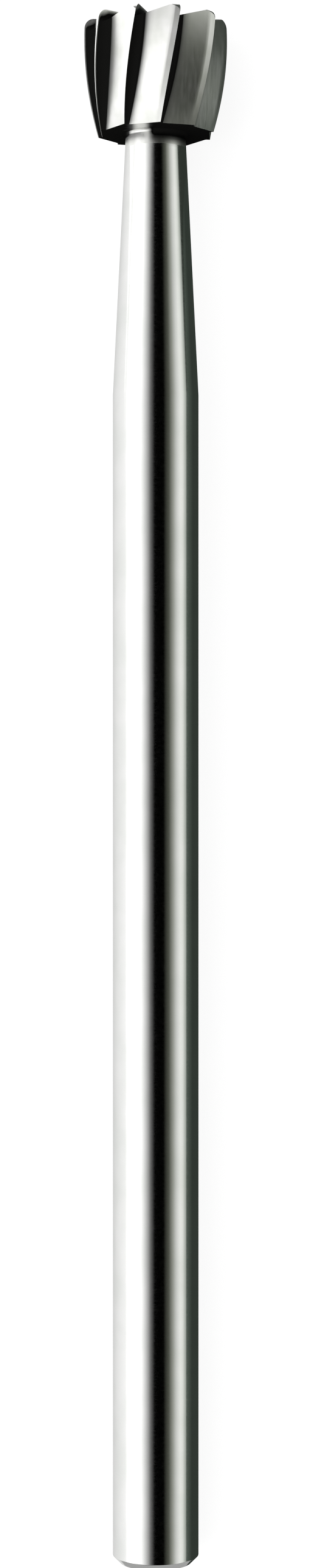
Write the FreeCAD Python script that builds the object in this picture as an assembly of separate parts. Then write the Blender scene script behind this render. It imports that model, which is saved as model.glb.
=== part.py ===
import FreeCAD, Part
import math
import os

# A bur for a straight handpiece, turned and ground from one bar of steel: a plain round shank,
# a neck that tapers down towards the head, and a barrel-shaped head with right-hand helical
# teeth, which carry on over its end. Sizes are in millimetres. The bur is drawn along its own
# axis, +Z from the foot of the shank to the end of the head, and is then laid down as it rests
# on a table: on the edges of two teeth and on the rim of the foot.

# Shank and neck
shank_diameter = 2.35
shank_length = 31.9
foot_chamfer = 0.20
neck_length = 7.13
neck_end_diameter = 1.64
neck_fillet = 0.08

# Head, as turned before the teeth are ground
head_length = 3.15
head_diameter = 3.91
widest_below_end = 0.60
side_radius = 10.0
end_rounding = 0.25

# Teeth: the rake face is radial, and the back falls in two flats from the cutting edge. The
# root of a flute is rounded to a share of the flute's depth, so it narrows towards the neck.
tooth_count = 10
helix_angle = 10.0
root_diameter = 3.28
root_taper_angle = 3.0
root_rounding_share = 0.80
land_angle = 4.5
land_relief_angle = 24.0

# Teeth on the end: each groove is deepest at the rim, beside the wall that carries on from a
# rake face, and rises to the next tooth; a centre mark keeps the grooves off the axis
end_groove_depth = 0.34
end_groove_slope = 19.0
end_groove_setback = 0.02
centre_mark_diameter = 0.80
centre_mark_angle = 118.0

# How far the grinding passes run past the metal, and how finely the path of one is stepped
overrun = 0.30
flute_stations = 9

shank_radius = shank_diameter / 2
neck_end_radius = neck_end_diameter / 2
head_radius = head_diameter / 2
root_radius = root_diameter / 2
head_start = shank_length + neck_length
total_length = head_start + head_length
widest_height = total_length - widest_below_end
tooth_pitch = 360.0 / tooth_count
twist_per_mm = math.degrees(math.tan(math.radians(helix_angle)) / head_radius)
axis_direction = FreeCAD.Vector(0, 0, 1)
centre = FreeCAD.Vector(0, 0, 0)


def at(radius, angle, height):
    """A point given by its distance from the axis, its angle round it and its height."""
    turned = math.radians(angle)
    return FreeCAD.Vector(radius * math.cos(turned), radius * math.sin(turned), height)


def side_at(height):
    """How far the head's turned side stands from the axis."""
    off_widest = height - widest_height
    return head_radius - side_radius + math.sqrt(side_radius**2 - off_widest**2)


def root_at(height):
    """How far the bottom of a flute stands from the axis, before it is rounded."""
    off_widest = height - widest_height
    return root_radius + off_widest * math.tan(math.radians(root_taper_angle))


def tip_angle_at(height):
    """Where the first cutting edge lies, so that two teeth straddle the table at the widest."""
    table_side = 90.0
    return table_side - tooth_pitch / 2 + twist_per_mm * (height - widest_height)


def turned_blank():
    """Shank, neck and head as they leave the lathe."""
    middle = (head_start + total_length) / 2
    outline = [
        at(0, 0, 0),
        at(shank_radius - foot_chamfer, 0, 0),
        at(shank_radius, 0, foot_chamfer),
        at(shank_radius, 0, shank_length),
        at(neck_end_radius, 0, head_start),
        at(side_at(head_start), 0, head_start),
    ]
    end_rim = at(side_at(total_length), 0, total_length)
    end_centre = at(0, 0, total_length)
    edges = [Part.LineSegment(a, b).toShape() for a, b in zip(outline, outline[1:])]
    edges.append(Part.Arc(outline[-1], at(side_at(middle), 0, middle), end_rim).toShape())
    edges.append(Part.LineSegment(end_rim, end_centre).toShape())
    edges.append(Part.LineSegment(end_centre, outline[0]).toShape())
    blank = Part.Face(Part.Wire(edges)).revolve(centre, axis_direction, 360)
    blank = Part.Solid(blank.Shells[0])
    blank = blank.makeFillet(neck_fillet, [ring_edge(blank, neck_end_radius, head_start)])
    rim = ring_edge(blank, side_at(total_length), total_length)
    return blank.makeFillet(end_rounding, [rim])


def ring_edge(shape, radius, height):
    """The round edge of that radius at that height."""
    for edge in shape.Edges:
        if isinstance(edge.Curve, Part.Circle):
            same_radius = abs(edge.Curve.Radius - radius) < 1e-6
            same_height = abs(edge.Curve.Center.z - height) < 1e-6
            if same_radius and same_height:
                return edge
    raise ValueError(f"no round edge of radius {radius} at height {height}")


def flute_section(height):
    """Outline of one flute across the axis, between one cutting edge and the next."""
    edge_radius = side_at(height)
    next_edge = at(edge_radius, tooth_pitch, 0)
    down_the_land = at(1, tooth_pitch - 90 - land_relief_angle, 0)
    foot_corner = math.radians(90 + land_relief_angle - land_angle)
    land_width = edge_radius * math.sin(math.radians(land_angle)) / math.sin(foot_corner)
    land_foot = next_edge + down_the_land * land_width
    past_the_edge = next_edge - down_the_land * overrun
    root = at(root_at(height), 0, 0)
    outward = FreeCAD.Vector(1, 0, 0)
    back = (land_foot - root).normalize()
    half_corner = back.getAngle(outward) / 2
    root_rounding = root_rounding_share * (edge_radius - root_at(height))
    run_in = root_rounding / math.tan(half_corner)
    to_rounding = root_rounding / math.sin(half_corner) - root_rounding
    bisector = (back + outward).normalize()
    rounding_start = root + outward * run_in
    rounding_end = root + back * run_in
    outside_rake = at(edge_radius + overrun, 0, 0)
    edges = [
        Part.LineSegment(outside_rake, rounding_start).toShape(),
        Part.Arc(rounding_start, root + bisector * to_rounding, rounding_end).toShape(),
        Part.LineSegment(rounding_end, land_foot).toShape(),
        Part.LineSegment(land_foot, past_the_edge).toShape(),
        Part.LineSegment(past_the_edge, outside_rake).toShape(),
    ]
    section = Part.Wire(edges)
    section.rotate(centre, axis_direction, tip_angle_at(height))
    section.translate(at(0, 0, height))
    return section


def flute_cutter():
    """The metal that one pass along the side of the head takes away."""
    start = head_start - overrun
    step = (head_length + 2 * overrun) / (flute_stations - 1)
    sections = [flute_section(start + i * step) for i in range(flute_stations)]
    return Part.makeLoft(sections, True, False)


def end_groove_cutter():
    """The wedge that one pass over the end takes away."""
    fall = end_groove_depth / head_radius
    rise = math.tan(math.radians(end_groove_slope))
    reach = head_radius + overrun
    top = total_length + overrun

    def across(distance):
        floor = total_length - fall * distance
        wall_foot = FreeCAD.Vector(distance, 0, floor)
        wall_top = FreeCAD.Vector(distance, 0, top)
        far_top = FreeCAD.Vector(distance, (top - floor) / rise, top)
        return Part.makePolygon([wall_foot, wall_top, far_top, wall_foot])

    wedge = Part.makeLoft([across(0), across(reach)], True, True)
    setback = math.degrees(end_groove_setback / head_radius)
    wedge.rotate(centre, axis_direction, tip_angle_at(total_length) + setback)
    return wedge


def centre_mark():
    """The cone left in the end by the drill that centred the bar."""
    slope = math.tan(math.radians(centre_mark_angle / 2))
    radius = centre_mark_diameter / 2
    depth = radius / slope
    mouth = radius + overrun * slope
    return Part.makeCone(0, mouth, depth + overrun, at(0, 0, total_length - depth))


def round_the_axis(cutter):
    """One copy of a cutter for each tooth."""
    copies = []
    for tooth in range(tooth_count):
        turned = cutter.copy()
        turned.rotate(centre, axis_direction, tooth * tooth_pitch)
        copies.append(turned)
    return copies


def head_support():
    """How far the axis is held above the table where the two lowest cutting edges touch it."""
    steps = 60
    held = []
    for i in range(steps + 1):
        height = head_start + i * (total_length - end_rounding - head_start) / steps
        twist = twist_per_mm * (height - widest_height)
        off_the_table_side = math.radians(tooth_pitch / 2 - abs(twist))
        held.append(side_at(height) * math.cos(off_the_table_side))
    return max(held)


def lying_down(shape):
    """Lays the bur along +Y, tipped until the rim of the foot and two teeth touch z = 0."""
    rise = head_support() - shank_radius
    run = widest_height - foot_chamfer
    lying = shape.copy()
    tip_up = math.degrees(math.atan2(rise, run))
    lying.rotate(centre, FreeCAD.Vector(1, 0, 0), -90 + tip_up)
    box = lying.optimalBoundingBox(False, False)
    lying.translate(FreeCAD.Vector(-box.Center.x, -box.Center.y, -box.ZMin))
    return lying


def bur():
    """The finished bur, at rest."""
    metal = turned_blank().cut(centre_mark())
    for cutter in round_the_axis(flute_cutter()) + round_the_axis(end_groove_cutter()):
        metal = metal.cut(cutter)
    return lying_down(metal.Solids[0])


os.makedirs("parts", exist_ok=True)
bur().exportStep("parts/bur.step")
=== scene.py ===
import math

import bpy
from mathutils import Matrix, Vector


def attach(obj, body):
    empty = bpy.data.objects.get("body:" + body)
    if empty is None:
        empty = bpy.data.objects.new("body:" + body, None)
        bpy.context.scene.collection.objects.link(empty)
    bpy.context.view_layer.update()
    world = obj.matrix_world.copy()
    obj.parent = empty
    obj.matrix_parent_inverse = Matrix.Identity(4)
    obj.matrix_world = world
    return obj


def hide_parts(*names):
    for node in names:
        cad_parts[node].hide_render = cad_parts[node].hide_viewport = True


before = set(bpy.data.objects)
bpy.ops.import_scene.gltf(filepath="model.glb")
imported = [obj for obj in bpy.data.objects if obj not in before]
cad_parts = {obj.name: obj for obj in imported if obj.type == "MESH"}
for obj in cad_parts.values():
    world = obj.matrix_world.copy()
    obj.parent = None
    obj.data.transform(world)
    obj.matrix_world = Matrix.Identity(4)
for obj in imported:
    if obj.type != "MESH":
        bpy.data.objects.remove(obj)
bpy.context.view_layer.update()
scene = bpy.context.scene
mm = 0.001

# The bur is drawn along its own axis: z = 0 at the foot of the shank, head at the far end.
# All its sizes are in millimetres, all angles in degrees.
bur = {
    "shankRadius": 1.175,
    "shankLength": 31.9,
    "footChamfer": 0.20,
    "neckLength": 7.13,
    "neckEndRadius": 0.82,
    "neckFillet": 0.08,
    "headLength": 3.15,
    "headRadius": 1.955,
    "widestBelowEnd": 0.60,
    "sideRadius": 10.0,
    "endRounding": 0.25,
    "teeth": 10,
    "helixAngle": 10.0,
    "rootRadius": 1.64,
    "rootTaper": 3.0,
    "rootRoundingShare": 0.80,
    "landAngle": 4.5,
    "landRelief": 24.0,
    "endGrooveDepth": 0.34,
    "centreMarkRadius": 0.40,
    "centreMarkAngle": 118.0,
    "softCorner": 0.03,
    "softTaperStart": 0.9,
    "sharpFrom": 13,
}

# How many facets each stretch of the bur gets
facets = {
    "rake": 5,
    "root": 8,
    "back": 10,
    "land": 5,
    "corner": 8,
    "side": 30,
    "crease": 6,
    "rim": 16,
    "end": 10,
    "mark": 4,
}

# Where some of the rows lie: shares of the way out under the head, and how many groove depths
# below the end the rim's rows start
undersideRings = (0.3, 0.6, 0.9, 0.985)
rimDepths = 1.4
weldDistance = 2e-8  # in metres

# The painted shade in the gullets, under the head and down the right of the neck, in millimetres:
# its look, how it fades out past a root and over the end, how far it runs down the right of the
# neck, the levels below the head where the neck has rows for it, how far it runs off the left of
# the fillet, and where it is left off the steel under the middle tooth
paintedShade = {
    "colour": (0.008, 0.008, 0.0075),
    "roughness": 0.5,
    "fullShadeFrom": 0.6,
    "pastRoot": (0.75, 0.45, 0.2, 0.06),
    "endFade": 3,
    "neckReach": (0.17, 0.48),
    "neckSide": (-0.22, -0.02),
    "neckShare": 0.6,
    "neckRows": (0.48, 0.40, 0.32, 0.25, 0.17),
    "filletLeft": (-0.82, -0.62),
    "unshadedLeft": (-0.80, -0.48),
    "unshadedRight": (-0.32, 0.02),
    "unshadedRadius": 1.65,
    "unshadedShare": 0.80,
    "undersideWithin": 0.005,
}

# Where the polish of the shank stops, in millimetres from the foot and from the head
polishEnds = {
    "aboveFoot": 0.05,
    "belowHead": 0.38,
}

headStart = bur["shankLength"] + bur["neckLength"]
headEnd = headStart + bur["headLength"]
widest = headEnd - bur["widestBelowEnd"]
pitch = 360.0 / bur["teeth"]
straddle = math.radians(90 - pitch / 2)  # turns two teeth to the table
twistPerMm = math.tan(math.radians(bur["helixAngle"])) / bur["headRadius"]
columns = facets["rake"] + facets["root"] + facets["back"] + facets["land"]
endFall = bur["endGrooveDepth"] / bur["headRadius"]
endRise = endFall / math.tan(math.radians(pitch - bur["landAngle"]))
markSlope = 1 / math.tan(math.radians(bur["centreMarkAngle"] / 2))


def onCircle(radius, degrees):
    return Vector((math.cos(math.radians(degrees)), math.sin(math.radians(degrees)))) * radius


def sideAt(z):
    offWidest = z - widest
    return bur["headRadius"] - bur["sideRadius"] + math.sqrt(bur["sideRadius"] ** 2 - offWidest**2)


def blankAt(z):
    # the turned outline, with its rounded end corner
    cornerStart = headEnd - bur["endRounding"]
    if z <= cornerStart:
        return sideAt(z)
    ring = sideAt(cornerStart) - bur["endRounding"]
    return ring + math.sqrt(max(0.0, bur["endRounding"] ** 2 - (z - cornerStart) ** 2))


def toothSection(z, limit):
    # one tooth across the axis, from the cutting edge at 0 degrees round to the next one, with
    # nothing farther from the axis than the limit
    edgeRadius = sideAt(z)
    root = Vector((bur["rootRadius"] + (z - widest) * math.tan(math.radians(bur["rootTaper"])), 0))
    nextEdge = onCircle(edgeRadius, pitch)
    landFall = math.radians(90 + bur["landRelief"] - bur["landAngle"])
    landWidth = edgeRadius * math.sin(math.radians(bur["landAngle"])) / math.sin(landFall)
    landFoot = nextEdge + onCircle(landWidth, pitch - 90 - bur["landRelief"])
    back = (landFoot - root).normalized()
    halfCorner = math.atan2(back.y, back.x) / 2
    rounding = bur["rootRoundingShare"] * (edgeRadius - root.x)
    runIn = rounding / math.tan(halfCorner)
    centre = root + Vector((runIn, rounding))
    rakeTop = min(edgeRadius, limit)
    points = []
    for i in range(facets["rake"]):
        share = i / facets["rake"]
        points.append(Vector((rakeTop + (root.x + runIn - rakeTop) * share, 0)))
    sweep = 180 - math.degrees(2 * halfCorner)
    for i in range(facets["root"]):
        points.append(centre + onCircle(rounding, 270 - sweep * i / facets["root"]))
    backStart = root + back * runIn
    for i in range(facets["back"]):
        points.append(backStart.lerp(landFoot, i / facets["back"]))
    for i in range(facets["land"] + 1):
        points.append(landFoot.lerp(nextEdge, i / facets["land"]))
    for point in points[facets["rake"]:]:
        if point.length > limit:
            point *= limit / point.length
    return points


def endSlope(degrees):
    # how steeply the end falls away from its centre, at that angle past a cutting edge
    angle = math.radians(degrees)
    return max(0.0, endFall * math.cos(angle) - endRise * math.sin(angle))


def firstLevel(isPast, low, high, halvings=40):
    # the level from which isPast holds, or the highest one where it never does
    for _ in range(halvings):
        middle = (low + high) / 2
        if isPast(middle):
            high = middle
        else:
            low = middle
    return high


def roundedLine(corners):
    # corners are (radius, z, rounding); each rounded one becomes a short arc
    line = []
    for i, (radius, z, rounding) in enumerate(corners):
        here = Vector((radius, z))
        if not rounding:
            line.append(here)
            continue
        before = (Vector(corners[i - 1][:2]) - here).normalized()
        after = (Vector(corners[i + 1][:2]) - here).normalized()
        half = before.angle(after) / 2
        arcStart = here + before * rounding / math.tan(half)
        centre = here + (before + after).normalized() * rounding / math.sin(half)
        spoke = arcStart - centre
        turn = (math.pi - 2 * half) * (1 if before.cross(after) < 0 else -1)
        for step in range(facets["corner"] + 1):
            share = turn * step / facets["corner"]
            cosine, sine = math.cos(share), math.sin(share)
            turned = (spoke.x * cosine - spoke.y * sine, spoke.x * sine + spoke.y * cosine)
            line.append(centre + Vector(turned))
    return line


def turnedLine():
    foot, soft = bur["footChamfer"], bur["softCorner"]
    neckSlope = (bur["shankRadius"] - bur["neckEndRadius"]) / bur["neckLength"]
    neckRows = [
        (bur["neckEndRadius"] + neckSlope * below, headStart - below, 0)
        for below in paintedShade["neckRows"]
    ]
    pastFillet = bur["neckEndRadius"] + 3 * bur["neckFillet"]
    # the last corner only gives the fillet its direction, and is left off again
    return roundedLine([
        (0, 0, 0),
        (bur["shankRadius"] - foot, 0, soft),
        (bur["shankRadius"], foot, soft),
        (bur["shankRadius"], bur["shankLength"], bur["softTaperStart"]),
        *neckRows,
        (bur["neckEndRadius"], headStart, bur["neckFillet"]),
        (pastFillet, headStart, 0),
    ])[:-1]


def gulletShadeOf(column):
    # the painted shade a column of the slice gets, by how deep in the gullet it runs: 1 in the
    # root, 0 on the tooth
    if column <= facets["rake"]:
        return column / facets["rake"]
    fadeStep = column - facets["rake"] - facets["root"] + 1
    if fadeStep < 0:
        return 1.0
    return paintedShade["pastRoot"][fadeStep] if fadeStep < len(paintedShade["pastRoot"]) else 0.0


def toothSlice():
    # one tooth's share of the whole bur, from the middle of the foot to the middle of the end,
    # and for each of its rows how much painted shade it has
    everyColumn = range(columns + 1)
    rows = []
    rimFoot = toothSection(headStart, blankAt(headStart))
    angles = [math.degrees(math.atan2(point.y, point.x)) for point in rimFoot]
    startAngle = sum(angle - pitch * i / columns for i, angle in enumerate(angles)) / len(angles)
    spokes = [onCircle(1, startAngle + pitch * i / columns) for i in everyColumn]
    for radius, z in turnedLine():
        rows.append([(spoke.x * radius, spoke.y * radius, z) for spoke in spokes])
    inner = rows[-1]
    unshadedRow = [0.0] * (columns + 1)
    shadedRow = [1.0] * (columns + 1)
    fillet = facets["corner"] + 1
    # painted shade on the neck's fillet and under the head, none on the rest of the turned part
    paintedShadeShare = [unshadedRow] * (len(rows) - fillet) + [shadedRow] * (fillet + len(undersideRings))
    for share in undersideRings:
        row = []
        for (x, y, z), outer in zip(inner, rimFoot):
            row.append((x + (outer.x - x) * share, y + (outer.y - y) * share, headStart))
        rows.append(row)

    rimStart = headEnd - rimDepths * bur["endGrooveDepth"]
    for step in range(facets["side"]):
        z = headStart + (rimStart - headStart) * step / facets["side"]
        rows.append([(point.x, point.y, z) for point in toothSection(z, blankAt(z))])

    def slopeOf(column, point):
        if column == 0 or column == columns:
            return 0.0
        return endSlope(math.degrees(math.atan2(point.y, point.x)))

    def isPastEnd(column, z):
        point = toothSection(z, blankAt(z))[column]
        return z + point.length * slopeOf(column, point) > headEnd

    def isPastBlank(column, z):
        return toothSection(z, math.inf)[column].length > blankAt(z)

    # each column runs up to the crease where the end's rounding starts to cut the tooth, and
    # from there to the rim; where the rounding doesn't reach it, the crease is the rim
    rims = [firstLevel(lambda z: isPastEnd(i, z), rimStart, headEnd) for i in everyColumn]
    creases = [firstLevel(lambda z: isPastBlank(i, z), rimStart, rims[i]) for i in everyColumn]
    creases[0] = creases[-1] = headEnd - bur["endRounding"]
    for step in range(facets["rim"] + 1):
        below = min(1, step / facets["crease"])
        above = max(0, step - facets["crease"]) / (facets["rim"] - facets["crease"])
        row = []
        for column, (crease, rim) in enumerate(zip(creases, rims)):
            toCrease = (crease - rimStart) * below
            toRim = (rim - crease) * math.sin(math.pi / 2 * above)
            z = rimStart + toCrease + toRim
            point = toothSection(z, blankAt(z))[column]
            row.append((point.x, point.y, z))
        rows.append(row)

    rim = [Vector(point) for point in rows[-1]]
    slopes = [slopeOf(column, point) for column, point in enumerate(rim)]
    marks = [bur["centreMarkRadius"] * markSlope / (slope + markSlope) for slope in slopes]

    def inward(point, radius, z):
        # the place nearer the axis than a point of the rim, on the same spoke
        rimRadius = point.xy.length
        return (point.x * radius / rimRadius, point.y * radius / rimRadius, z)

    for step in range(1, facets["end"] + 1):
        share = step / facets["end"]
        row = []
        for point, slope, mark in zip(rim, slopes, marks):
            radius = point.xy.length + (mark - point.xy.length) * share
            row.append(inward(point, radius, headEnd - radius * slope))
        rows.append(row)
    for step in range(1, facets["mark"] + 1):
        row = []
        for point, mark in zip(rim, marks):
            radius = mark * (1 - step / facets["mark"])
            depth = (bur["centreMarkRadius"] - radius) * markSlope
            row.append(inward(point, radius, headEnd - depth))
        rows.append(row)

    # painted shade in the gullets up the side and rim, fading out over the end, and none on the
    # centre mark
    gullet = [gulletShadeOf(column) for column in everyColumn]
    paintedShadeShare += [gullet] * (facets["side"] + facets["rim"] + 1)
    for step in range(1, facets["end"] + 1):
        fade = 1 - (step / facets["end"]) ** paintedShade["endFade"]
        paintedShadeShare.append([math.sqrt(share) * fade for share in gullet])
    paintedShadeShare += [unshadedRow] * facets["mark"]

    # a rake face runs straight from the cutting edge to the root, on the side and over the end
    rake = facets["rake"]
    for row in rows[len(rows) - facets["mark"] - facets["end"] - facets["rim"] - 1:]:
        edge, rootStart = Vector(row[0]), Vector(row[rake])
        for column in range(1, rake):
            row[column] = tuple(edge.lerp(rootStart, column / rake))
    return rows, paintedShadeShare


def sliceMesh():
    rows, paintedShadeShare = toothSlice()
    wide = columns + 1
    points = [Vector(point) * mm for row in rows for point in row]
    faces = []
    for r in range(len(rows) - 1):
        for c in range(columns):
            a = r * wide + c
            faces.append((a, a + 1, a + wide + 1, a + wide))
    mesh = bpy.data.meshes.new("toothSlice")
    mesh.from_pydata(points, [], faces)
    # each point's share of painted shade
    shares = mesh.attributes.new("paintedShadeShare", "FLOAT", "POINT")
    shares.data.foreach_set("value", [share for row in paintedShadeShare for share in row])
    mesh.update()
    return mesh


def calculate(nodes, operation, first, second=None):
    # one Math node, whose values are sockets to link or plain numbers
    step = nodes.new("ShaderNodeMath")
    step.operation = operation
    for slot, value in enumerate((first, second)):
        if isinstance(value, bpy.types.NodeSocket):
            step.id_data.links.new(value, step.inputs[slot])
        elif value is not None:
            step.inputs[slot].default_value = value
    return step.outputs[0]


# Steel: turned and polished on the shank and neck, ground and duller on the head, on the end of
# the neck and on the flat of the foot. Grains are counted to the metre, on each axis.
polish = {
    "colour": (0.88, 0.88, 0.87),
    "dullColour": (0.82, 0.83, 0.81),
    "roughness": (0.10, 0.15),
    "lineGrain": (9000, 26000, 9000),
    "patchGrain": 900,
    "lineDepth": 0.25,
    "deepest": 2e-7,
}
ground = {
    "colour": (0.94, 0.94, 0.92),
    "dullColour": (0.84, 0.85, 0.81),
    "roughness": (0.285, 0.35),
    "lineGrain": (16000, 1600, 16000),
    "patchGrain": 1800,
    "lineDepth": 0.5,
    "deepest": 6e-7,
}

# The detail of the noise for both, and the parts of its span that are used
grain = {
    "detail": 2,
    "lineContrast": (0.3, 0.7),
    "patchContrast": (0.35, 0.65),
}


def steelMaterial(name, look):
    material = bpy.data.materials.new(name)
    material.use_nodes = True
    nodes, links = material.node_tree.nodes, material.node_tree.links
    shader = nodes["Principled BSDF"]
    shader.inputs["Metallic"].default_value = 1
    place = nodes.new("ShaderNodeTexCoord")

    def noise(scale):
        spread = nodes.new("ShaderNodeMapping")
        spread.inputs["Scale"].default_value = scale
        texture = nodes.new("ShaderNodeTexNoise")
        texture.inputs["Scale"].default_value = 1
        texture.inputs["Detail"].default_value = grain["detail"]
        links.new(place.outputs["Object"], spread.inputs["Vector"])
        links.new(spread.outputs["Vector"], texture.inputs["Vector"])
        return texture.outputs["Fac"]

    def mapped(value, source, target=(0, 1)):
        # carries a socket's value from one span to another
        change = nodes.new("ShaderNodeMapRange")
        edges = ("From Min", "From Max", "To Min", "To Max")
        for edge, number in zip(edges, (*source, *target)):
            change.inputs[edge].default_value = number
        links.new(value, change.inputs["Value"])
        return change.outputs["Result"]

    def mixed(kind, share, first, second):
        # goes from the first, a socket or a plain value, to the second, a plain value
        mix = nodes.new("ShaderNodeMix")
        mix.data_type = kind
        links.new(share, mix.inputs["Factor"])
        if isinstance(first, bpy.types.NodeSocket):
            links.new(first, mix.inputs["A"])
        else:
            mix.inputs["A"].default_value = first
        mix.inputs["B"].default_value = second
        return mix.outputs["Result"]

    lines = noise(look["lineGrain"])
    patches = mapped(noise([look["patchGrain"]] * 3), grain["patchContrast"])
    steelColour = mixed("RGBA", patches, (*look["colour"], 1), (*look["dullColour"], 1))
    steelRoughness = mapped(lines, grain["lineContrast"], look["roughness"])

    # with its share of painted shade, in the gullets, under the head and on the neck, the steel
    # first darkens; where the painted shade is full it is no metal and hardly shines
    paintedShadeShare = nodes.new("ShaderNodeAttribute")
    paintedShadeShare.attribute_name = "paintedShadeShare"
    dark = mapped(paintedShadeShare.outputs["Fac"], (0, paintedShade["fullShadeFrom"]))
    bare = mapped(paintedShadeShare.outputs["Fac"], (paintedShade["fullShadeFrom"], 1), (1, 0))
    colour = mixed("RGBA", dark, steelColour, (*paintedShade["colour"], 1))
    roughness = mixed("FLOAT", dark, steelRoughness, paintedShade["roughness"])
    links.new(colour, shader.inputs["Base Color"])
    links.new(roughness, shader.inputs["Roughness"])
    links.new(bare, shader.inputs["Metallic"])
    shader.inputs["Specular IOR Level"].default_value = 0
    bump = nodes.new("ShaderNodeBump")
    bump.inputs["Strength"].default_value = look["lineDepth"]
    bump.inputs["Distance"].default_value = look["deepest"]
    links.new(lines, bump.inputs["Height"])
    links.new(bump.outputs["Normal"], shader.inputs["Normal"])
    return material


polishedSteel = steelMaterial("polishedSteel", polish)
groundSteel = steelMaterial("groundSteel", ground)


def toothedHeadTree():
    sockets = {
        "Slice": "NodeSocketGeometry",
        "Teeth": "NodeSocketInt",
        "Twist Per Metre": "NodeSocketFloat",
        "Head Start": "NodeSocketFloat",
        "Widest Level": "NodeSocketFloat",
        "Foot Line": "NodeSocketFloat",
        "Finish Line": "NodeSocketFloat",
        "Shank Steel": "NodeSocketMaterial",
        "Head Steel": "NodeSocketMaterial",
    }
    tree = bpy.data.node_groups.new("teethRoundTheAxis", "GeometryNodeTree")
    for name, kind in sockets.items():
        tree.interface.new_socket(name, in_out="INPUT", socket_type=kind)
    tree.interface.new_socket("Bur", in_out="OUTPUT", socket_type="NodeSocketGeometry")
    nodes, links = tree.nodes, tree.links
    given = nodes.new("NodeGroupInput").outputs
    result = nodes.new("NodeGroupOutput")

    # twist the straight slice into a helix, from the underside of the head upwards
    place = nodes.new("GeometryNodeInputPosition")
    parts = nodes.new("ShaderNodeSeparateXYZ")
    turned = nodes.new("ShaderNodeVectorRotate")
    turned.rotation_type = "Z_AXIS"
    twisted = nodes.new("GeometryNodeSetPosition")
    inHead = calculate(nodes, "MAXIMUM", parts.outputs["Z"], given["Head Start"])
    offWidest = calculate(nodes, "SUBTRACT", inHead, given["Widest Level"])
    angle = calculate(nodes, "MULTIPLY", offWidest, given["Twist Per Metre"])
    links.new(place.outputs["Position"], parts.inputs[0])
    links.new(place.outputs["Position"], turned.inputs["Vector"])
    links.new(angle, turned.inputs["Angle"])
    links.new(given["Slice"], twisted.inputs["Geometry"])
    links.new(turned.outputs[0], twisted.inputs["Position"])

    # one slice for each tooth, turned about the axis and joined edge to edge
    places = nodes.new("GeometryNodePoints")
    index = nodes.new("GeometryNodeInputIndex")
    euler = nodes.new("ShaderNodeCombineXYZ")
    rotation = nodes.new("FunctionNodeEulerToRotation")
    copies = nodes.new("GeometryNodeInstanceOnPoints")
    real = nodes.new("GeometryNodeRealizeInstances")
    joined = nodes.new("GeometryNodeMergeByDistance")
    joined.inputs["Distance"].default_value = weldDistance
    smooth = nodes.new("GeometryNodeSetShadeSmooth")
    share = calculate(nodes, "DIVIDE", index.outputs[0], given["Teeth"])
    around = calculate(nodes, "MULTIPLY", share, 2 * math.pi)
    links.new(given["Teeth"], places.inputs["Count"])
    links.new(around, euler.inputs["Z"])
    links.new(euler.outputs[0], rotation.inputs[0])
    links.new(places.outputs[0], copies.inputs["Points"])
    links.new(twisted.outputs["Geometry"], copies.inputs["Instance"])
    links.new(rotation.outputs[0], copies.inputs["Rotation"])
    links.new(copies.outputs[0], real.inputs[0])
    links.new(real.outputs[0], joined.inputs["Geometry"])
    links.new(joined.outputs[0], smooth.inputs["Geometry"])

    # polished steel between the foot line and the finish line, ground steel past them
    middle = nodes.new("GeometryNodeInputPosition")
    middleParts = nodes.new("ShaderNodeSeparateXYZ")
    shankFinish = nodes.new("GeometryNodeSetMaterial")
    headFinish = nodes.new("GeometryNodeSetMaterial")
    isFoot = calculate(nodes, "LESS_THAN", middleParts.outputs["Z"], given["Foot Line"])
    isHead = calculate(nodes, "GREATER_THAN", middleParts.outputs["Z"], given["Finish Line"])
    isEither = calculate(nodes, "MAXIMUM", isFoot, isHead)
    links.new(middle.outputs["Position"], middleParts.inputs[0])
    links.new(smooth.outputs[0], shankFinish.inputs["Geometry"])
    links.new(given["Shank Steel"], shankFinish.inputs["Material"])
    links.new(shankFinish.outputs["Geometry"], headFinish.inputs["Geometry"])
    links.new(isEither, headFinish.inputs["Selection"])
    links.new(given["Head Steel"], headFinish.inputs["Material"])
    links.new(headFinish.outputs["Geometry"], result.inputs[0])
    return tree


def evaluated(tree, mesh, values):
    # runs a node tree on a mesh and gives the plain mesh that comes out
    carrier = bpy.data.objects.new("carrier", mesh)
    scene.collection.objects.link(carrier)
    modifier = carrier.modifiers.new("tree", "NODES")
    modifier.node_group = tree
    for socket in tree.interface.items_tree:
        if socket.in_out == "INPUT" and socket.name in values:
            modifier[socket.identifier] = values[socket.name]
    shown = carrier.evaluated_get(bpy.context.evaluated_depsgraph_get())
    plain = bpy.data.meshes.new_from_object(shown)
    bpy.data.objects.remove(carrier)
    return plain


def restPlace(mesh, steps=60):
    # lies along +Y with the head at +Y, on two cutting edges and the rim of the foot
    held = 0
    for step in range(steps + 1):
        z = headStart + step * (bur["headLength"] - bur["endRounding"]) / steps
        offDown = math.radians(pitch / 2) - abs(twistPerMm * (z - widest))
        held = max(held, sideAt(z) * math.cos(offDown))
    tipUp = math.atan2(held - bur["shankRadius"], widest - bur["footChamfer"])
    laid = Matrix.Rotation(tipUp - math.pi / 2, 4, "X") @ Matrix.Rotation(straddle, 4, "Z")
    spots = [laid @ vertex.co for vertex in mesh.vertices]
    low = min(spot.z for spot in spots)
    middle = (min(spot.y for spot in spots) + max(spot.y for spot in spots)) / 2
    return Matrix.Translation((0, -middle, -low)) @ laid, tipUp


def eased(span, value):
    # 0 before the span, 1 past it, and a smooth rise between
    share = min(1, max(0, (value - span[0]) / (span[1] - span[0])))
    return share * share * (3 - 2 * share)


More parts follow.
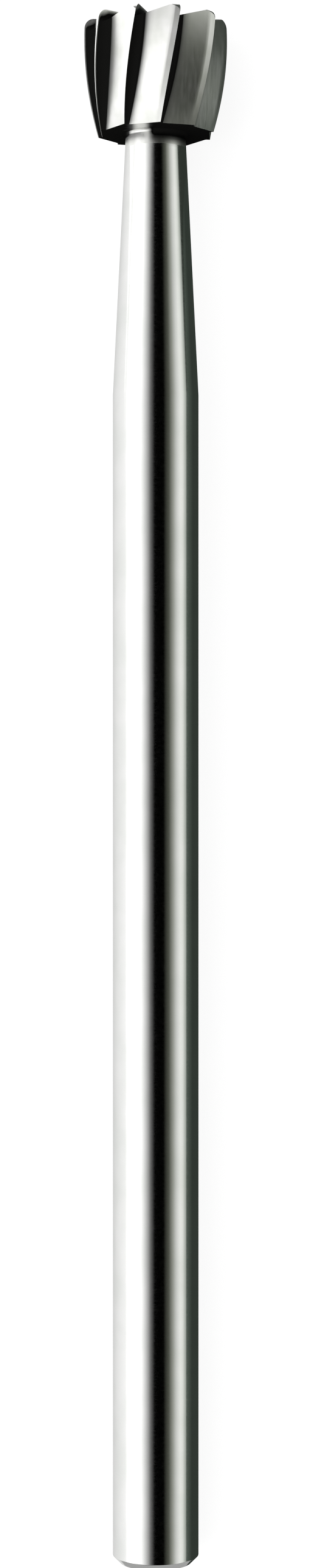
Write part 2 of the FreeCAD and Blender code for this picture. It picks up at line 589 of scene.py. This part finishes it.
def spreadPaintedShade(mesh, toAxis):
    # the painted shade below the head: added down the right of the neck, kept on the fillet only
    # far left and to the right, and mostly taken off the underside under the middle tooth
    # seen along the camera's way, x runs to the right of the axis and -y up from it
    onLevel = paintedShade["undersideWithin"]
    for vertex, paintedShadeShare in zip(mesh.vertices, mesh.attributes["paintedShadeShare"].data):
        spot = toAxis @ vertex.co / mm
        below = headStart - spot.z
        if onLevel < below < paintedShade["neckReach"][1]:
            onNeck = paintedShade["neckShare"] * (1 - eased(paintedShade["neckReach"], below))
            farLeft = 1 - eased(paintedShade["filletLeft"], spot.x)
            onTheRight = eased(paintedShade["neckSide"], spot.x)
            paintedShadeShare.value = max(paintedShadeShare.value * farLeft, max(paintedShadeShare.value, onNeck) * onTheRight)
        if abs(below) < onLevel and spot.y < 0 and spot.xy.length < paintedShade["unshadedRadius"]:
            bare = eased(paintedShade["unshadedLeft"], spot.x) * (1 - eased(paintedShade["unshadedRight"], spot.x))
            paintedShadeShare.value *= 1 - paintedShade["unshadedShare"] * bare


burMesh = evaluated(toothedHeadTree(), sliceMesh(), {
    "Teeth": bur["teeth"],
    "Twist Per Metre": twistPerMm / mm,
    "Head Start": headStart * mm,
    "Widest Level": widest * mm,
    "Foot Line": polishEnds["aboveFoot"] * mm,
    "Finish Line": (headStart - polishEnds["belowHead"]) * mm,
    "Shank Steel": polishedSteel,
    "Head Steel": groundSteel,
})
place, tipUp = restPlace(burMesh)
burMesh.transform(place)
axisMatrix = place @ Matrix.Rotation(-straddle, 4, "Z")
spreadPaintedShade(burMesh, axisMatrix.inverted())
burMesh.set_sharp_from_angle(angle=math.radians(bur["sharpFrom"]))
burBody = bpy.data.objects.new("cuttingBur", burMesh)
scene.collection.objects.link(burBody)
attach(burBody, "root")
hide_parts("bur")
print("bur made,", len(burMesh.polygons), "faces")
print("tipped up", round(math.degrees(tipUp), 3), "degrees")

# The camera stands over the middle of the bur, square to its axis. It sees from the nearest to
# the farthest distance, in metres.
photo = {"width": 538, "height": 2576, "pixelsPerMm": 60.04, "axisAt": 256.1, "footAt": 2565.0}
camera = {"awayMm": 81.2, "sensorHeight": 36, "nearest": 0.005, "farthest": 10}

alongAxis = (photo["footAt"] - photo["height"] / 2) / photo["pixelsPerMm"]
toTheRight = (photo["width"] / 2 - photo["axisAt"]) / photo["pixelsPerMm"]
lens = bpy.data.cameras.new("camera")
lens.sensor_fit = "VERTICAL"
lens.sensor_height = camera["sensorHeight"]
lens.lens = camera["sensorHeight"] * camera["awayMm"] * photo["pixelsPerMm"] / photo["height"]
lens.clip_start = camera["nearest"]
lens.clip_end = camera["farthest"]
eye = bpy.data.objects.new("camera", lens)
eyePlace = Matrix.Translation(Vector((toTheRight, -camera["awayMm"], alongAxis)) * mm)
eye.matrix_world = axisMatrix @ eyePlace @ Matrix.Rotation(math.pi / 2, 4, "X")
scene.collection.objects.link(eye)
scene.camera = eye
print("camera at", [round(value, 4) for value in eye.matrix_world.translation])


# Stage: a pale table, and a tent with cards on the table, over the head and at both ends, which
# show only in the steel
def glow(name, colour=(1, 1, 1)):
    material = bpy.data.materials.new(name)
    material.use_nodes = True
    nodes = material.node_tree.nodes
    nodes.clear()
    light = nodes.new("ShaderNodeEmission")
    light.name = "light"
    light.inputs["Color"].default_value = (*colour, 1)
    out = nodes.new("ShaderNodeOutputMaterial")
    material.node_tree.links.new(light.outputs[0], out.inputs["Surface"])
    return material


def onlyInSteel(shape):
    # shows in reflections and nowhere else
    shape.visible_camera = False
    shape.visible_diffuse = False
    shape.visible_shadow = False
    shape.visible_transmission = False
    scene.collection.objects.link(shape)
    return shape


def dimByBur(material, reach, least):
    # a card on the table loses reach / distance of its glow towards the bur, down to the least: a
    # painted shadow of the bur on the table, seen in the steel
    nodes, links = material.node_tree.nodes, material.node_tree.links
    place = nodes.new("ShaderNodeTexCoord")
    parts = nodes.new("ShaderNodeSeparateXYZ")
    links.new(place.outputs["Object"], parts.inputs[0])
    distance = calculate(nodes, "ABSOLUTE", parts.outputs["X"])
    lost = calculate(nodes, "DIVIDE", reach * mm, distance)
    kept = calculate(nodes, "SUBTRACT", 1, lost)
    strength = calculate(nodes, "MAXIMUM", kept, least)
    links.new(strength, nodes["light"].inputs["Strength"])


def card(name, colour, corners, dimming=None):
    mesh = bpy.data.meshes.new(name)
    mesh.from_pydata([Vector(corner) * mm for corner in corners], [], [(0, 1, 2, 3)])
    material = glow(name, colour)
    if dimming:
        dimByBur(material, *dimming)
    mesh.materials.append(material)
    return onlyInSteel(bpy.data.objects.new(name, mesh))


# The steel sees a long tent round the bur, in millimetres. Each stop is an angle from straight
# up, positive to the right, with the colour that the tent has there. Lamp and table are in metres.
stage = {
    "tentRadius": 110,
    "tentReach": 150,
    "tentStops": [
        (-90, (1.00, 1.00, 1.00)),
        (-77, (1.40, 1.40, 1.40)),
        (-43, (1.40, 1.40, 1.40)),
        (-33, (0.97, 0.97, 0.97)),
        (-23, (0.54, 0.54, 0.54)),
        (-13, (0.13, 0.13, 0.13)),
        (-4, (0.0, 0.0, 0.0)),
        (22, (0.0, 0.0, 0.0)),
        (36, (0.083, 0.088, 0.071)),
        (47, (0.33, 0.342, 0.305)),
        (58, (0.68, 0.69, 0.67)),
        (69, (0.90, 0.91, 0.88)),
        (77, (0.82, 0.84, 0.80)),
        (84, (0.52, 0.55, 0.51)),
        (90, (0.32, 0.35, 0.32)),
    ],
    "worldStrength": 0.70,
    "lampPower": 0.8,
    "lampSize": 0.35,
    "lampSpot": (-0.22, -0.05, 0.42),
    "tableReach": 1.5,
    "tableColour": (0.235, 0.235, 0.235),
    "tableLift": 0.84,
}

# Cards: what each one glows with, its corners, and for some the reach of their dimming towards
# the bur in millimetres and the least share of the glow; the dimming is a painted shadow of the
# bur
cards = {
    "leftFloor": {
        "colour": (1.045, 1.045, 1.045),
        "corners": [(-110, -60, 0.5), (-0.9, -22, 0.02), (-0.9, 19, 0.02), (-110, 19, 0.5)],
        "dimming": (0.60, 0.70),
    },
    "leftFloorByHead": {
        "colour": (1.3, 1.3, 1.3),
        "corners": [(-110, 19, 0.5), (-0.9, 19, 0.02), (-0.9, 150, 0.02), (-110, 150, 0.5)],
    },
    "roofByHead": {
        "colour": (1.0, 1.0, 1.0),
        "corners": [(-59, 51, 81), (-16, 51, 99), (-16, 85, 99), (-59, 85, 81)],
    },
    "rightFloor": {
        "colour": (0.086, 0.108, 0.090),
        "corners": [(0.9, -22, 0.02), (110, -60, 0.5), (110, 17.4, 0.5), (0.9, 17.4, 0.02)],
        "dimming": (3.0, 0.40),
    },
    "rightFloorByHead": {
        "colour": (0.030, 0.037, 0.030),
        "corners": [(0.9, 17.4, 0.02), (110, 17.4, 0.5), (110, 150, 0.5), (0.9, 150, 0.02)],
    },
    "footFloor": {
        "colour": (0.40, 0.40, 0.40),
        "corners": [(-110, -150, 0.4), (110, -150, 0.4), (110, -21.8, 0.01), (-110, -21.8, 0.01)],
    },
    "headEndFlag": {
        "colour": (0.03, 0.03, 0.03),
        "corners": [(-110, 150, 0.1), (110, 150, 0.1), (110, 150, 110), (-110, 150, 110)],
    },
    "footEndFlag": {
        "colour": (0.03, 0.03, 0.03),
        "corners": [(-110, -150, 0.1), (110, -150, 0.1), (110, -150, 110), (-110, -150, 110)],
    },
}


def tentMaterial(stops):
    material = glow("tent")
    nodes, links = material.node_tree.nodes, material.node_tree.links
    place = nodes.new("ShaderNodeTexCoord")
    parts = nodes.new("ShaderNodeSeparateXYZ")
    angle = calculate(nodes, "ARCTAN2", parts.outputs["X"], parts.outputs["Z"])
    spread = nodes.new("ShaderNodeMapRange")
    spread.inputs["From Min"].default_value = -math.pi / 2
    spread.inputs["From Max"].default_value = math.pi / 2
    ramp = nodes.new("ShaderNodeValToRGB")
    links.new(place.outputs["Object"], parts.inputs[0])
    links.new(angle, spread.inputs["Value"])
    links.new(spread.outputs["Result"], ramp.inputs["Fac"])
    links.new(ramp.outputs["Color"], nodes["light"].inputs["Color"])
    elements = ramp.color_ramp.elements
    while len(elements) < len(stops):
        elements.new(0.5)
    for element, (degrees, colour) in zip(elements, stops):
        element.position = (degrees + 90) / 180
        element.color = (*colour, 1)
    return material


def tent(radius, reach, segments=60):
    mesh = bpy.data.meshes.new("tent")
    points = []
    for i in range(segments + 1):
        angle = math.pi * (i / segments - 0.5)
        x, z = radius * math.sin(angle), radius * math.cos(angle)
        points += [Vector((x, -reach, z)) * mm, Vector((x, reach, z)) * mm]
    faces = [(2 * i, 2 * i + 1, 2 * i + 3, 2 * i + 2) for i in range(segments)]
    mesh.from_pydata(points, [], faces)
    mesh.materials.append(tentMaterial(stage["tentStops"]))
    return onlyInSteel(bpy.data.objects.new("tent", mesh))


tent(stage["tentRadius"], stage["tentReach"])
for name, drawn in cards.items():
    card(name, **drawn)


def seenDirectly(tree):
    # 1 for what the camera sees, also in steel or through glass, and 0 for the light it gives
    rays = tree.nodes.new("ShaderNodeLightPath").outputs
    seen = calculate(tree.nodes, "MAXIMUM", rays["Is Camera Ray"], rays["Is Glossy Ray"])
    return calculate(tree.nodes, "MAXIMUM", seen, rays["Is Transmission Ray"])


tableMesh = bpy.data.meshes.new("table")
reach = stage["tableReach"]
tableCorners = [(-reach, -reach, 0), (reach, -reach, 0), (reach, reach, 0), (-reach, reach, 0)]
tableMesh.from_pydata(tableCorners, [], [(0, 1, 2, 3)])
tablePaint = bpy.data.materials.new("paleTable")
tablePaint.use_nodes = True
paint = tablePaint.node_tree
paint.nodes.clear()
matt = paint.nodes.new("ShaderNodeBsdfDiffuse")
matt.inputs["Color"].default_value = (*stage["tableColour"], 1)
lift = paint.nodes.new("ShaderNodeEmission")
amount = calculate(paint.nodes, "MULTIPLY", seenDirectly(paint), stage["tableLift"])
both = paint.nodes.new("ShaderNodeAddShader")
tableOut = paint.nodes.new("ShaderNodeOutputMaterial")
paint.links.new(amount, lift.inputs["Strength"])
paint.links.new(matt.outputs[0], both.inputs[0])
paint.links.new(lift.outputs[0], both.inputs[1])
paint.links.new(both.outputs[0], tableOut.inputs["Surface"])
tableMesh.materials.append(tablePaint)
table = bpy.data.objects.new("table", tableMesh)
scene.collection.objects.link(table)

lampLight = bpy.data.lights.new("softLamp", "AREA")
lampLight.shape = "SQUARE"
lampLight.size = stage["lampSize"]
lampLight.energy = stage["lampPower"]
lamp = bpy.data.objects.new("softLamp", lampLight)
lamp.visible_glossy = False
lampSpot = Vector(stage["lampSpot"])
lampAim = lampSpot.to_track_quat("Z", "Y").to_matrix().to_4x4()
lamp.matrix_world = Matrix.Translation(lampSpot) @ lampAim
scene.collection.objects.link(lamp)

world = bpy.data.worlds.new("studio")
scene.world = world
world.use_nodes = True
air = world.node_tree
background = air.nodes["Background"]
background.inputs["Color"].default_value = (1, 1, 1, 1)
airStrength = air.nodes.new("ShaderNodeMapRange")
airStrength.inputs["To Min"].default_value = stage["worldStrength"]
airStrength.inputs["To Max"].default_value = 1
air.links.new(seenDirectly(air), airStrength.inputs["Value"])
air.links.new(airStrength.outputs["Result"], background.inputs["Strength"])
scene.view_settings.view_transform = "Standard"
print("stage set")
